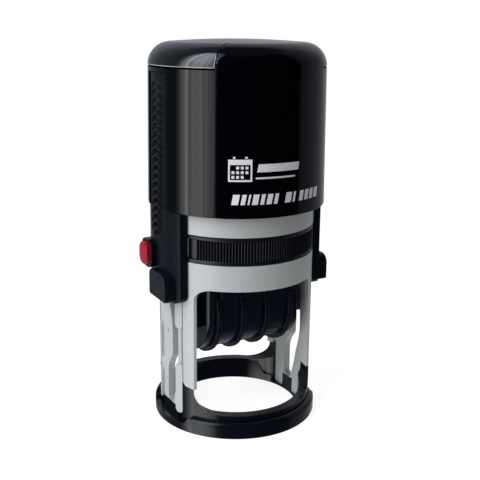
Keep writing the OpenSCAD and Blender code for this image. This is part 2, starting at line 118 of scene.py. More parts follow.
def prism(name, outline, axis, start, end):
    """Stretches a flat outline along X, Y or Z. The outline is (y, z), (x, z) or (x, y)."""
    order = {"x": lambda u, v, w: (w, u, v), "y": lambda u, v, w: (u, w, v), "z": lambda u, v, w: (u, v, w)}
    n = len(outline)
    verts = [order[axis](u, v, w) for w in (start, end) for u, v in outline]
    faces = [list(range(n)), list(range(2 * n - 1, n - 1, -1))]
    faces += [[i, (i + 1) % n, n + (i + 1) % n, n + i] for i in range(n)]
    return clean(make_object(name, verts, faces))


def rounded(x1, x2, z1, z2, lower, upper, steps=8):
    """A rectangle with round corners: lower ones of one radius, upper ones of another."""
    points = []
    for cx, cz, r, start in ((x2 - lower, z1 + lower, lower, 270), (x2 - upper, z2 - upper, upper, 0),
                             (x1 + upper, z2 - upper, upper, 90), (x1 + lower, z1 + lower, lower, 180)):
        points += arc(cx, cz, r, start, start + 90, steps) if r > 0 else [(cx, cz)]
    return points


def span(name, low, high):
    """A box from two opposite corners."""
    return prism(name, [(low[0], low[1]), (high[0], low[1]), (high[0], high[1]), (low[0], high[1])],
                 "z", low[2], high[2])


def combine(obj, kind, *others):
    """Applies booleans one after another and removes the tools."""
    for other in others:
        step = obj.modifiers.new("step", "BOOLEAN")
        step.operation = kind
        step.solver = "EXACT"
        step.object = other
        apply_modifiers(obj)
        bpy.data.objects.remove(other)
    return obj


def cut(obj, *tools):
    return combine(obj, "DIFFERENCE", *tools)


def keep(obj, *tools):
    return combine(obj, "INTERSECT", *tools)


def add(obj, *tools):
    return combine(obj, "UNION", *tools)


def apply_modifiers(obj):
    bpy.context.view_layer.update()
    depsgraph = bpy.context.evaluated_depsgraph_get()
    mesh = bpy.data.meshes.new_from_object(obj.evaluated_get(depsgraph))
    obj.modifiers.clear()
    obj.data = mesh
    return obj


def duplicate(obj, name):
    copy = obj.copy()
    copy.data = obj.data.copy()
    copy.name = name
    bpy.context.scene.collection.objects.link(copy)
    return copy


def mirror_x(obj, name):
    copy = duplicate(obj, name)
    copy.data.transform(Matrix.Scale(-1, 4, (1, 0, 0)))
    return clean(copy)


def soften(obj, width=0.15, angle=32, segments=2, share=None):
    """Rounds the hard edges and shades the rest smooth. share(edge) may give an edge a part of the width."""
    bm = bmesh.new()
    bm.from_mesh(obj.data)
    bmesh.ops.dissolve_limit(bm, angle_limit=math.radians(0.6), verts=bm.verts, edges=bm.edges)
    if share:
        weights = bm.edges.layers.float.new("bevel_weight_edge")
        for edge in bm.edges:
            if len(edge.link_faces) == 2 and edge.calc_face_angle(0) > math.radians(angle):
                edge[weights] = share(edge)
    bm.to_mesh(obj.data)
    bm.free()
    if width:
        bevel = obj.modifiers.new("bevel", "BEVEL")
        bevel.width = width * MM
        bevel.segments = segments
        bevel.limit_method = "WEIGHT" if share else "ANGLE"
        bevel.angle_limit = math.radians(angle)
        bevel.harden_normals = False
        bevel.use_clamp_overlap = True
        apply_modifiers(obj)
    smooth(obj, 48)
    normals = obj.modifiers.new("normals", "WEIGHTED_NORMAL")
    normals.keep_sharp = True
    normals.weight = 80
    return obj


def smooth(obj, angle):
    """Smooth shading, apart from edges sharper than the angle."""
    for p in obj.data.polygons:
        p.use_smooth = True
    obj.data.set_sharp_from_angle(angle=math.radians(angle))


def place(obj, body, slot, material, *nodes):
    """Gives a finished piece its material and its body, and hides the CAD nodes it stands for."""
    obj.data.materials.clear()
    obj.data.materials.append(material)
    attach(obj, body)
    if nodes:
        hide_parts(*nodes)
    return obj


# ---------------------------------------------------------------- materials

DRIFT_MM = 6       # how far apart the slow changes of tone and roughness are
GRAIN_MM = 0.05    # height of the grain


def material(name, colour, roughness, grain=0.0, grain_size=0.4, vary=0.04, coat=0.0, specular=0.5,
             **sockets):
    """Moulded plastic: fine grain in the surface, and tone and roughness that drift a little over it."""
    mat = bpy.data.materials.new(name)
    mat.use_nodes = True
    tree = mat.node_tree
    shader = tree.nodes["Principled BSDF"]
    shader.inputs["Base Color"].default_value = (*colour, 1)
    shader.inputs["Roughness"].default_value = roughness
    shader.inputs["Coat Weight"].default_value = coat
    shader.inputs["Specular IOR Level"].default_value = specular
    for key, value in sockets.items():
        shader.inputs[key.replace("_", " ")].default_value = value
    coords = tree.nodes.new("ShaderNodeTexCoord")
    drift = noise(tree, coords, 1 / (DRIFT_MM * MM), 3)
    if vary:
        spread = tree.nodes.new("ShaderNodeMapRange")
        spread.inputs["To Min"].default_value = max(0.0, roughness - vary)
        spread.inputs["To Max"].default_value = roughness + vary
        tree.links.new(drift.outputs["Fac"], spread.inputs["Value"])
        tree.links.new(spread.outputs["Result"], shader.inputs["Roughness"])
        tint = tree.nodes.new("ShaderNodeMix")
        tint.data_type = "RGBA"
        tint.inputs["A"].default_value = (*[c * 0.93 for c in colour], 1)
        tint.inputs["B"].default_value = (*[min(1, c * 1.07) for c in colour], 1)
        tree.links.new(drift.outputs["Fac"], tint.inputs["Factor"])
        tree.links.new(tint.outputs["Result"], shader.inputs["Base Color"])
    if grain:
        fine = noise(tree, coords, 1 / (grain_size * MM), 4)
        bump = tree.nodes.new("ShaderNodeBump")
        bump.inputs["Strength"].default_value = grain
        bump.inputs["Distance"].default_value = GRAIN_MM * MM
        tree.links.new(fine.outputs["Fac"], bump.inputs["Height"])
        tree.links.new(bump.outputs["Normal"], shader.inputs["Normal"])
    return mat


def noise(tree, coords, scale, detail):
    """Noise that is fixed to the object."""
    node = tree.nodes.new("ShaderNodeTexNoise")
    node.inputs["Scale"].default_value = scale
    node.inputs["Detail"].default_value = detail
    tree.links.new(coords.outputs["Object"], node.inputs["Vector"])
    return node


def paint_scoop_shade(mat, deep):
    """Paints shade into the scoops: goes to a darker colour where the mesh's relief attribute says that a
    point lies deep.
    """
    tree = mat.node_tree
    base = tree.nodes["Principled BSDF"].inputs["Base Color"]
    relief = tree.nodes.new("ShaderNodeAttribute")
    relief.attribute_name = "relief"
    mix = tree.nodes.new("ShaderNodeMix")
    mix.data_type = "RGBA"
    mix.inputs["B"].default_value = (*deep, 1)
    tree.links.new(base.links[0].from_socket, mix.inputs["A"])
    tree.links.new(relief.outputs["Fac"], mix.inputs["Factor"])
    tree.links.new(mix.outputs["Result"], base)


BLACK_GLOSS = material("gloss_black", (0.0010, 0.0011, 0.0024), 0.045, vary=0.008, grain=0.02, grain_size=2.5)
CHARCOAL = material("arm_charcoal", (0.0038, 0.0062, 0.0100), 0.30, specular=0.27, grain=0.2, grain_size=0.25)
GRIP = material("grip_charcoal", (0.0065, 0.0080, 0.0098), 0.30, specular=0.12, grain=0.15, grain_size=0.2)
# Painted shade: the grip's scoops get a darker colour the deeper they lie
paint_scoop_shade(GRIP, (0.0002, 0.0003, 0.0005))
BASE_BLACK = material("base_black", (0.0032, 0.0042, 0.0078), 0.17, grain=0.15, grain_size=0.3)
GREY = material("frame_grey", (0.495, 0.512, 0.508), 0.34, grain=0.15, grain_size=0.3, vary=0.05)
CARTRIDGE = material("cartridge_black", (0.0055, 0.0065, 0.0100), 0.30, grain=0.2, grain_size=0.25)
NAVY = material("carriage_navy", (0.0045, 0.0065, 0.0140), 0.22, grain=0.15, grain_size=0.3)
WHEEL = material("wheel_black", (0.0040, 0.0052, 0.0100), 0.28, grain=0.2, grain_size=0.2)
RED = material("button_red", (0.33, 0.002, 0.016), 0.16, vary=0.03, coat=0.3)
DARK_RED = material("button_ring", (0.06, 0.001, 0.008), 0.3)
STEEL = material("spring_steel", (0.62, 0.62, 0.63), 0.28, vary=0.06, Metallic=1.0)
PIN_STEEL = material("pin_steel", (0.55, 0.55, 0.56), 0.22, vary=0.05, Metallic=1.0)
CARD = material("card", (0.75, 0.75, 0.72), 0.8, grain=0.2, grain_size=0.1)
FELT = material("felt", (0.010, 0.011, 0.028), 0.9, grain=1.0, grain_size=0.35, specular=0.2)
BAND = material("band_rubber", (0.045, 0.030, 0.034), 0.62, grain=0.3, grain_size=0.2)
DIE = material("die_rubber", (0.11, 0.045, 0.045), 0.6, grain=0.3, grain_size=0.2)
PRINT = material("white_print", (0.82, 0.82, 0.84), 0.5, grain=0.1, grain_size=0.1)
SMOKE = material("smoky_clear", (0.006, 0.007, 0.010), 0.05, vary=0.01, IOR=1.85, Alpha=0.985)
# Pale grey for the cover's edge, a painted highlight of the light that the clear plastic gathers
COVER_EDGE_HIGHLIGHT = material("clear_edge_painted_highlight", (0.36, 0.39, 0.42), 0.2, vary=0.02)
# Matte black without gloss, painted shadow for the gap of the seam under the cover
SEAM_PAINTED_SHADOW = material("seam_painted_shadow", (0.0005, 0.0005, 0.0008), 0.9, specular=0.0)

# ---------------------------------------------------------------- sizes of the handle, some taken from the frame

shell_low, shell_high = box_mm("handle_shell")
SHELL_R = shell_high[1]
SHELL_Z = shell_low[2]
DRAFT = 0.45
TOP_Z = box_mm("top_cover")[1][2]
TOP_R = SHELL_R - DRAFT
SEAM_Z = TOP_Z - 7.0
CORNER_R = 6.0
ARC_Z = SEAM_Z + 0.3
INNER_R = SHELL_R - 1.2
COVER_T = 1.2
PANEL_HALF = 15.5
PANEL_IN_R = 17.9
GRIP_GAP = 5.3
STEP_Z = SEAM_Z - 1.0
LEDGE_R = TOP_R - 0.9
COVER_LOW = SEAM_Z + 0.5
COVER_GAP = 0.15


def top_profile(inset, steps=20):
    """Outline over the shoulder to the middle of the crown."""
    centre = TOP_R - CORNER_R
    shoulder = arc(centre, ARC_Z, CORNER_R - inset, 0, 86, steps)
    crown_h = TOP_Z - ARC_Z - CORNER_R
    crown = [(centre * t, TOP_Z - inset - crown_h * t * t) for t in (0.9, 0.75, 0.6, 0.45, 0.3, 0.15, 0)]
    return shoulder + crown


def panels(grow, inner_r):
    """The front and rear panels of the shell, round-topped, as solids outside a radius."""
    solid = prism("panels", rounded(-PANEL_HALF - grow, PANEL_HALF + grow, SEAM_Z - 3,
                                    ARC_Z + CORNER_R + grow, 0, CORNER_R + grow, 14), "y", -40, 40)
    return keep(solid, lathe("ring", [(inner_r, 90), (40, 90), (40, 110), (inner_r, 110)]))


def make_shell():
    """The handle's drum with its two round-topped panels, and ledges that the clear cover sits on."""
    drop = SEAM_Z - SHELL_Z
    wall = [(SHELL_R - 0.35, SHELL_Z), (SHELL_R - 0.1, SHELL_Z + 0.06), (SHELL_R, SHELL_Z + 0.3)]
    wall += [(SHELL_R - DRAFT * t, SHELL_Z + drop * t) for t in (0.2, 0.4, 0.6, 0.8, 1.0)]
    ceiling_z = 100.5
    inside = [(0, ceiling_z), (18.8, ceiling_z), (21.2, SEAM_Z), (21.2, STEP_Z), (INNER_R, STEP_Z),
              (INNER_R, SHELL_Z)]
    shell = lathe("handle_shell_skin", wall + top_profile(0) + inside)
    # Room for the clear cover: everywhere above the seam but the two panels
    core = [(r, z) for r, z in top_profile(COVER_T + 0.1) if z > SEAM_Z + 0.4]
    core_r = TOP_R - COVER_T - 0.1
    room = lathe("room", [(30, SEAM_Z), (30, 120), (0, 120)] + core[::-1]
                 + [(core_r, SEAM_Z + 0.4), (LEDGE_R, SEAM_Z + 0.4), (LEDGE_R, SEAM_Z)])
    cut(room, panels(0.0, PANEL_IN_R))
    cut(shell, room)
    # Shallow seat for the card
    card_low, card_high = box_mm("index_card")
    seat_r, seat_z = card_high[0] + 0.3, card_low[2] - 0.05
    cut(shell, lathe("seat", [(0, seat_z), (seat_r, seat_z), (seat_r, 120), (0, 120)]))
    for side in (-1, 1):
        xs = sorted((side * 17, side * 30))
        cut(shell, span("slot", (xs[0], -GRIP_GAP, 50), (xs[1], GRIP_GAP, STEP_Z)))
    soften(shell, 0.22, 34, 3)
    place(shell, "handle", "gloss_black", BLACK_GLOSS, "handle_shell")


def make_cover():
    """Smoky clear cover, a pale ring at its edge as painted highlight, and a black ring in the seam under it
    as painted shadow.
    """
    low = COVER_LOW
    cover = lathe("top_cover_clear", skin(low, 0, COVER_T))
    # Edges of the clear plastic, which gather the light: a pale grey ring there is a painted highlight
    edge = lathe("top_cover_edge", skin(low - 0.01, -0.015, 0.3, low + 3))
    rim = lathe("rim", [(15, low - 1), (40, low - 1), (40, low + 0.17), (15, low + 0.17)])
    keep(edge, add(panels(0.29, PANEL_IN_R + 1), rim))
    cut(edge, panels(COVER_GAP, PANEL_IN_R - COVER_GAP))
    cut(cover, panels(COVER_GAP, PANEL_IN_R - COVER_GAP))
    soften(cover, 0.2, 34, 3)
    place(cover, "top_cover", "smoky_clear", SMOKE, "top_cover")
    smooth(edge, 40)
    place(edge, "top_cover", "smoky_clear", COVER_EDGE_HIGHLIGHT)
    # A black ring inside the seam under the cover, a painted shadow of the gap
    seam_in, seam_out, seam_low, seam_high = TOP_R - 1.4, TOP_R - 0.2, SEAM_Z + 0.02, low - 0.06
    seam = lathe("seam_shadow", [(seam_in, seam_low), (seam_out, seam_low), (seam_out, seam_high),
                                 (seam_in, seam_high)])
    smooth(seam, 40)
    place(seam, "handle", "gloss_black", SEAM_PAINTED_SHADOW)


def skin(low, outer, inner, high=1000):
    """Outline of a cover over the top, from one inset to another and between two heights."""
    outside = [(r, z) for r, z in top_profile(outer) if low + 0.1 < z < high]
    inside = [(r, z) for r, z in top_profile(inner) if low + 0.1 < z < high]
    return [(TOP_R - outer, low)] + outside + inside[::-1] + [(TOP_R - inner, low)]


def make_print():
    """Generic white marks on the front: a calendar sign, two lines beside it, slanted blocks under it."""
    # Each mark is left, right, low, high and how far its top leans to the right
    left, right, low, high, line = -13.8, -7.8, 70.3, 76.5, 0.45
    head = high - 0.7
    marks = [(left, left + line, low, head, 0), (right - line, right, low, head, 0),
             (left + line, right - line, low, low + line, 0),
             (left + line, right - line, high - 2.0, head, 0),
             (left + 1.2, left + 1.8, high - 0.5, high, 0), (right - 1.8, right - 1.2, high - 0.5, high, 0)]
    for row in range(3):
        for column in range(4):
            if (row, column) not in ((0, 0), (2, 3)):
                x, z = left + 0.85 + 1.15 * column, high - 3.1 - 1.15 * row
                marks.append((x, x + 0.7, z, z + 0.7, 0))
    marks += [(right + 1.2, right + 13.0, 72.6, 74.6, 0.4), (right + 0.9, right + 12.0, 70.9, 71.35, 0)]
    # Widths of the blocks, less than 0 for a space
    x = -13.0
    for block in (1.7, 1.1, 0.5, 1.5, 1.0, 1.4, 1.0, -0.9, 1.8, 0.7, -0.2, 1.4, 1.4, 1.4, 1.9):
        if block > 0:
            marks.append((x, x + block, 64.5, 67.1, 0.5))
        x += abs(block) + 0.62
    verts, faces = [], []
    for x1, x2, z1, z2, slant in marks:
        cells = max(1, math.ceil((x2 - x1) / 0.8))
        start = len(verts)
        for i in range(cells + 1):
            for z, lean in ((z1, 0), (z2, slant)):
                for lift in (0.02, -0.08):
                    a = (x1 + (x2 - x1) * i / cells + lean) / SHELL_R
                    r = SHELL_R - DRAFT * (z - SHELL_Z) / (SEAM_Z - SHELL_Z) + lift
                    verts.append((r * math.sin(a), -r * math.cos(a), z))
        for i in range(cells):
            a, b = start + 4 * i, start + 4 * i + 4
            faces += [[a, b, b + 2, a + 2], [a + 1, a + 3, b + 3, b + 1],
                      [a + 2, b + 2, b + 3, a + 3], [a, a + 1, b + 1, b]]
        last = start + 4 * cells
        faces += [[start, start + 2, start + 3, start + 1], [last, last + 1, last + 3, last + 2]]
    place(clean(make_object("front_print", verts, faces)), "handle", "card", PRINT)


# ---------------------------------------------------------------- base

BASE_IN_R = 17.8
LIP_IN_R = 18.7
LIP_OUT_R = 21.4
LIP_Z = 6.0
FOOT_Y = 7.05
RAIL_Y = 7.55
RAIL_R = 18.85
TOE_X = (14.4, 18.78)
TOE_Y = (2.57, 7.03)
TOE_Z = 0.57
BASE_BEVEL = 0.85


def make_base():
    """Foot ring: rolled rim and inner lip at the front and rear, low sides, four upstands out of the lip."""
    r = box_mm("base_ring")[1][0]
    rim_round = 1.5
    ring = lathe("base_ring_moulding", [(BASE_IN_R + 0.15, 0), (r - 0.35, 0), (r - 0.1, 0.1), (r, 0.35)]
                 + arc(r - rim_round, 3.0, rim_round, 0, 88, 12)
                 + [(21.35, 4.3), (19.5, 4.3), (19.5, 5.7), (18.72, 5.7), (BASE_IN_R, 0.2)])
    # The rim and lip slope down to a low floor at both sides
    side = [(-9.4, 2.2), (9.4, 2.2), (9.9, 2.5), (10.5, 3.3), (11.0, 4.2), (11.5, 4.9), (12, 8), (-12, 8),
            (-11.5, 4.9), (-11.0, 4.2), (-10.5, 3.3), (-9.9, 2.5)]
    for x1, x2 in ((-30, -10), (10, 30)):
        cut(ring, prism("side", side, "x", x1, x2))
    lip = lathe("lip", [(LIP_IN_R, 1), (LIP_OUT_R, 1), (LIP_OUT_R, 20), (LIP_IN_R, 20)])
    cut(lip, prism("window", rounded(-18.25, 18.25, LIP_Z, 30, 5.5, 0, 20), "y", -40, 40),
        span("legs", (-40, -FOOT_Y, 0), (40, FOOT_Y, 30)),
        *[across("rail", s, (RAIL_R, 40), (-RAIL_Y, RAIL_Y), (0, 30)) for s in (1, -1)])
    # The upstands end in a low step towards the legs
    keep(lip, prism("joint", [(-40, 0), (40, 0), (40, 12.2), (11.2, 12.2), (8.6, 12.6), (7.7, 13.6),
                              (-7.7, 13.6), (-8.6, 12.6), (-11.2, 12.2), (-40, 12.2)], "x", -40, 40))
    add(ring, lip)
    for s in (-1, 1):
        add(ring, across("block", s, (17.95, 20.0), (-4.75, 4.75), (0.5, 4.65)))
    # Room for the toes of the legs
    for s in (-1, 1):
        cut(ring, across("toe", s, TOE_X, TOE_Y, (TOE_Z, 30)),
            across("toe", s, TOE_X, (-TOE_Y[1], -TOE_Y[0]), (TOE_Z, 30)))
    soften(ring, BASE_BEVEL, 28, 4, base_edge_share)
    place(ring, "frame", "base_black", BASE_BLACK, "base_ring")


def across(name, side, xs, ys, zs):
    """A box on one side of the middle: side is -1 or 1, and xs are distances from the middle."""
    x1, x2 = sorted(side * x for x in xs)
    return span(name, (x1, ys[0], zs[0]), (x2, ys[1], zs[1]))


def base_edge_share(edge):
    """The lip's outer edge is the roundest, its inner edge less, all others are nearly sharp."""
    radii = [math.hypot(v.co.x, v.co.y) / MM for v in edge.verts]
    heights = [v.co.z / MM for v in edge.verts]
    level = abs(heights[0] - heights[1]) < 0.8 * (edge.calc_length() / MM) + 1e-4
    if min(heights) > LIP_Z - 0.05 and max(heights) < 12.1 and level:
        if min(radii) > LIP_OUT_R - 0.03:
            return 1.0
        if max(radii) < LIP_IN_R + 0.03:
            return 0.35
    return 0.18


# ---------------------------------------------------------------- arms

lock_low, lock_high = box_mm("lock_button")
LOCK_Y = (lock_low[1] + lock_high[1]) / 2
LOCK_Z = (lock_low[2] + lock_high[2]) / 2
STEM_Y = LOCK_Y - 0.9
STEM_R = 1.2
ARM_IN = 21.7
ARM_OUT = 23.6
ARM_HALF = 9.9
ARM_ROUND = 2.2
ARM_LOW = box_mm("right_arm")[0][2]
ARM_TOP = box_mm("right_arm")[1][2]
STRIP_HALF = 4.9
STRIP_LOW = 51.85
WAVE_HALF = 4.3
WAVE_LOW = 52.7
WAVE_TOP = 94.2
WAVE_PITCH = 2.18
WAVE_DEPTH = 0.75
STRIP_LOW_R = 24.02
STRIP_TOP_R = 23.3


def strip_radius(z):
    """Outside of the grip strip, which follows the shell's draft."""
    t = (z - ARM_LOW) / (ARM_TOP - ARM_LOW)
    return STRIP_LOW_R + (STRIP_TOP_R - STRIP_LOW_R) * t


def make_arm():
    """The arm on +X: lower part outside, thin part under the shell."""
    thin_r, step_z = INNER_R - 0.05, SHELL_Z - 0.1
    arm = lathe("right_arm_body", [(ARM_IN, ARM_LOW - 1), (ARM_OUT, ARM_LOW - 1), (ARM_OUT, step_z),
                                   (thin_r, step_z), (thin_r, ARM_TOP + 1), (ARM_IN, ARM_TOP + 1)])
    keep(arm, prism("outline", rounded(-ARM_HALF, ARM_HALF, ARM_LOW, ARM_TOP, ARM_ROUND, 0.5), "x", 5, 40))
    # Window that the end of the pivot pin swings in, under the pin cover
    cut(arm, prism("window", rounded(-5.1, 1.9, 38.6, 42.7, 1.9, 1.9), "x", 15, 40))
    # Room for the scoops of the grip strip
    half = STRIP_HALF - 0.4
    cut(arm, prism("pocket", rounded(-half, half, STRIP_LOW + 0.4, SHELL_Z + 0.5, half - 0.05, 0.3),
                   "x", 22.92, 40))
    return arm


def wave_height(y, z):
    """Relief of the grip: arched ridges, one above another, each with a scoop under its crest."""
    across = y / WAVE_HALF
    if abs(across) >= 1 or z < WAVE_LOW or z > WAVE_TOP:
        return 0.0
    low_end = WAVE_LOW + WAVE_HALF * (1 - math.sqrt(1 - across * across))
    high_end = WAVE_TOP - WAVE_HALF * (1 - math.sqrt(1 - across * across))
    if z < low_end or z > high_end:
        return 0.0
    phase = ((z + 2.3 * across * across - WAVE_LOW) / WAVE_PITCH) % 1.0
    # Deepest just under the crest above, then out to the next crest below
    scoop = ease(phase / 0.70) if phase < 0.80 else 1 - ease((phase - 0.80) / 0.16)
    edge = ease((1 - abs(across)) / 0.5) * ease((z - low_end) / 1.0) * ease((high_end - z) / 1.2)
    return -WAVE_DEPTH * scoop * edge


def ease(t):
    """0 below 0, 1 above 1, and an even slope between."""
    t = min(1.0, max(0.0, t))
    return t * t * (3 - 2 * t)


def strip_half(z):
    """Half the strip's width, which narrows to a round lower end."""
    rise = STRIP_LOW + STRIP_HALF - z
    return STRIP_HALF if rise <= 0 else math.sqrt(max(0.05, STRIP_HALF ** 2 - rise ** 2))


def make_strip(name, side):
    """The waved strip as a closed slab on the outside of an arm."""
    rows, cols = 420, 56
    low, high = STRIP_LOW, ARM_TOP - 0.1
    back_r = INNER_R - 0.6
    verts, faces = [], []
    for i in range(rows + 1):
        z = low + (high - low) * i / rows
        half = strip_half(z)
        for j in range(cols + 1):
            y = half * (2 * j / cols - 1)
            edge = min(1.0, (half - abs(y)) / 0.25)
            rim = 0.16 * (1 - edge) ** 2
            r = strip_radius(z) + wave_height(y, z) - rim
            verts.append((side * math.sqrt(r * r - y * y), y, z))
    top = len(verts)
    for i in range(rows + 1):
        z = low + (high - low) * i / rows
        half = strip_half(z)
        for j in range(cols + 1):
            y = half * (2 * j / cols - 1)
            verts.append((side * math.sqrt(back_r ** 2 - y * y), y, z))
    wide = cols + 1
    for i in range(rows):
        for j in range(cols):
            a = i * wide + j
            faces.append([a, a + 1, a + wide + 1, a + wide])
            faces.append([top + a, top + a + wide, top + a + wide + 1, top + a + 1])
    rim_ids = [j for j in range(cols)] + [i * wide + cols for i in range(rows)]
    rim_ids += [rows * wide + j for j in range(cols, 0, -1)] + [i * wide for i in range(rows, 0, -1)]
    for a, b in zip(rim_ids, rim_ids[1:] + rim_ids[:1]):
        faces.append([a, top + a, top + b, b])
    strip = clean(make_object(name, verts, faces), 1e-7)
    # How deep each point lies, which the material turns into painted shade in the scoops
    relief = strip.data.attributes.new("relief", "FLOAT", "POINT")
    for point, value in zip(strip.data.vertices, relief.data):
        value.value = (-wave_height(point.co.y / MM, point.co.z / MM) / WAVE_DEPTH) ** 1.2
    smooth(strip, 60)
    return strip


def make_arms():
    """Both side arms, with the hole for the button's stem in the left one, and their grip strips."""
    right = make_arm()
    left = mirror_x(right, "left_arm_body")
    cut(left, prism("stem", arc(STEM_Y, LOCK_Z, STEM_R + 0.08, 0, 345, 23), "x", -40, -18))
    soften(right, 0.3, 34, 3)
    soften(left, 0.3, 34, 3)
    place(right, "handle", "arm_charcoal", CHARCOAL, "right_arm")
    place(left, "handle", "arm_charcoal", CHARCOAL, "left_arm")
    place(make_strip("right_grip_waves", 1), "handle", "arm_charcoal", GRIP)
    place(make_strip("left_grip_waves", -1), "handle", "arm_charcoal", GRIP)


# ---------------------------------------------------------------- ink cartridge

TRAY_HALF = 18.2
TRAY_FRONT_HALF = 19.3
RIB_PITCH_DEG = 2.15
RIBBED_DEG = 56


def make_cartridge():
    """Tray of the ink pad, open below, with a lip above and below its ribs, and the ribs."""
    low, high = box_mm("cartridge_tray")
    z1, z2, r = low[2], high[2], high[1]
    pad_r, roof_z = 16.9, z2 - 1.9
    body = lathe("cartridge_body", [
        (pad_r, z1), (r - 0.25, z1), (r, z1 + 0.2), (r, z1 + 0.75), (r - 0.15, z1 + 0.95),
        (r - 0.75, z1 + 1.0), (r - 0.75, z2 - 1.0), (r - 0.15, z2 - 0.95), (r, z2 - 0.75), (r, z2 - 0.2),
        (r - 0.25, z2), (0, z2), (0, roof_z), (pad_r, roof_z)])
    # Flat sides, a little further out in front of the step
    wide, narrow, step_y = TRAY_FRONT_HALF, TRAY_HALF, -9.05
    keep(body, prism("sides", [(-wide, -30), (wide, -30), (wide, step_y), (narrow, step_y), (narrow, 30),
                               (-narrow, 30), (-narrow, step_y), (-wide, step_y)], "z", z1 - 1, z2 + 1))
    soften(body, 0.12, 40)
    place(body, "ink_cartridge", "cartridge_black", CARTRIDGE, "cartridge_tray")
    # Upright ribs, round-nosed, on the front and the rear
    verts, faces = [], []
    nose = [(-0.26, -0.9), (-0.24, -0.28), (-0.13, -0.1)]
    section = nose + [(0.0, -0.04)] + [(-across, out) for across, out in nose[::-1]]
    count = int(RIBBED_DEG / RIB_PITCH_DEG)
    for face in (-90, 90):
        for k in range(-count, count + 1):
            angle = math.radians(face + k * RIB_PITCH_DEG)
            first = len(verts)
            for z in (z1 + 0.97, z2 - 0.97):
                for across, out in section:
                    rr = r + out
                    verts.append((rr * math.cos(angle) - across * math.sin(angle),
                                  rr * math.sin(angle) + across * math.cos(angle), z))
            n = len(section)
            faces += [[first + i, first + i + 1, first + n + i + 1, first + n + i] for i in range(n - 1)]
            faces += [[first + n - 1, first, first + n, first + 2 * n - 1]]
            faces += [[first + i for i in range(n)][::-1], [first + n + i for i in range(n)]]
    ribs = clean(make_object("cartridge_ribs", verts, faces), 1e-8)
    smooth(ribs, 50)
    place(ribs, "ink_cartridge", "cartridge_black", CARTRIDGE)


# ---------------------------------------------------------------- lock button

def make_button():
    """Domed red button and its stem, its black collar, and a thin dark red ring at the collar's foot."""
    low, high = box_mm("lock_button")
    face = low[0]
    # Inset and depth behind the face of each outline, from the back to the domed front
    rings = [(0.0, 1.35), (0.0, 0.42), (0.08, 0.22), (0.26, 0.08), (0.55, 0.02), (1.1, 0.0), (2.0, 0.0)]
    outlines = [[(face + depth, y, z) for y, z in button_outline(-inset)] for inset, depth in rings]
    head = clean(make_object("lock_button_head", *stack(outlines)))
    smooth(head, 60)
    place(head, "lock_button", "button_red", RED, "lock_button")
    stem = prism("lock_button_stem", arc(STEM_Y, LOCK_Z, STEM_R, 0, 345, 23), "x", face + 1.2, high[0])
    soften(stem, 0.1, 50)
    place(stem, "lock_button", "button_red", DARK_RED)
    # The collar and the ring stand on the round of the arm
    collar = prism("lock_collar_moulding", button_outline(0.85), "x", -25.0, -21.9)
    ring = prism("lock_collar_ring", button_outline(0.97), "x", -22.95, -21.8)
    arm_r = ARM_OUT + 0.02
    for part, hole in ((collar, 0.15), (ring, 0.6)):
        cut(part, prism("inside", button_outline(hole), "x", -30, -20),
            lathe("arm", [(0, 30), (arm_r, 30), (arm_r, 60), (0, 60)]))
    soften(collar, 0.3, 40, 3)
    place(collar, "handle", "base_black", BASE_BLACK, "lock_collar")
    soften(ring, 0.08, 40)
    place(ring, "handle", "button_red", DARK_RED)


def button_outline(grow):
    """The lock button seen from the side, as (y, z)."""
    half_y, half_z, corner = 2.6 + grow, 3.1 + grow, max(0.3, 2.2 + grow / 2)
    corner = min(corner, half_y - 0.02)
    return rounded(LOCK_Y - half_y, LOCK_Y + half_y, LOCK_Z - half_z, LOCK_Z + half_z, corner, corner)


def stack(outlines):
    """Points and faces of a closed body through outlines with equal numbers of points."""
    n = len(outlines[0])
    verts = [v for outline in outlines for v in outline]
    faces = [[k * n + i, k * n + (i + 1) % n, (k + 1) * n + (i + 1) % n, (k + 1) * n + i]
             for k in range(len(outlines) - 1) for i in range(n)]
    return verts, faces + [list(range(n))[::-1], list(range((len(outlines) - 1) * n, len(outlines) * n))]


# ---------------------------------------------------------------- date wheels

WHEEL_Z = (box_mm("month_wheel")[0][2] + box_mm("month_wheel")[1][2]) / 2


def make_wheel(name, side):
    """Drum and knurled thumb disc with rounded teeth; the disc is at the side that the CAD gives."""
    low, high = box_mm(name)
    r, teeth, tooth, thick = high[1], 84, 0.28, 1.3
    disc_x = low[0] if side < 0 else high[0] - thick
    rim = []
    for i in range(teeth * 6):
        a = 2 * math.pi * i / (teeth * 6)
        tip = r - tooth + tooth * abs(math.cos(teeth * a / 2)) ** 0.6
        rim.append((tip * math.cos(a), WHEEL_Z + tip * math.sin(a)))
    disc = prism(name + "_knurled", rim, "x", disc_x, disc_x + thick)
    drum = prism("drum", arc(0, WHEEL_Z, 8, 0, 354, 59), "x", low[0] + 0.01, high[0] - 0.01)
    add(disc, drum)
    cut(disc, prism("bore", arc(0, WHEEL_Z, 1.65, 0, 350, 35), "x", low[0] - 1, high[0] + 1))
    soften(disc, 0.12, 40, 2)
    place(disc, name, "wheel_black", WHEEL, name)


# ---------------------------------------------------------------- pieces that keep their CAD shape

def refine(node, body, slot, mat, width=0.15):
    """A copy of a CAD piece with rounded edges and smooth shading, which stands for it."""
    copy = duplicate(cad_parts[node], node + "_finished")
    copy.parent = None
    for key in list(copy.keys()):
        if key.startswith("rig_"):
            del copy[key]
    clean(copy, 2e-6)
    soften(copy, width)
    return place(copy, body, slot, mat, node)


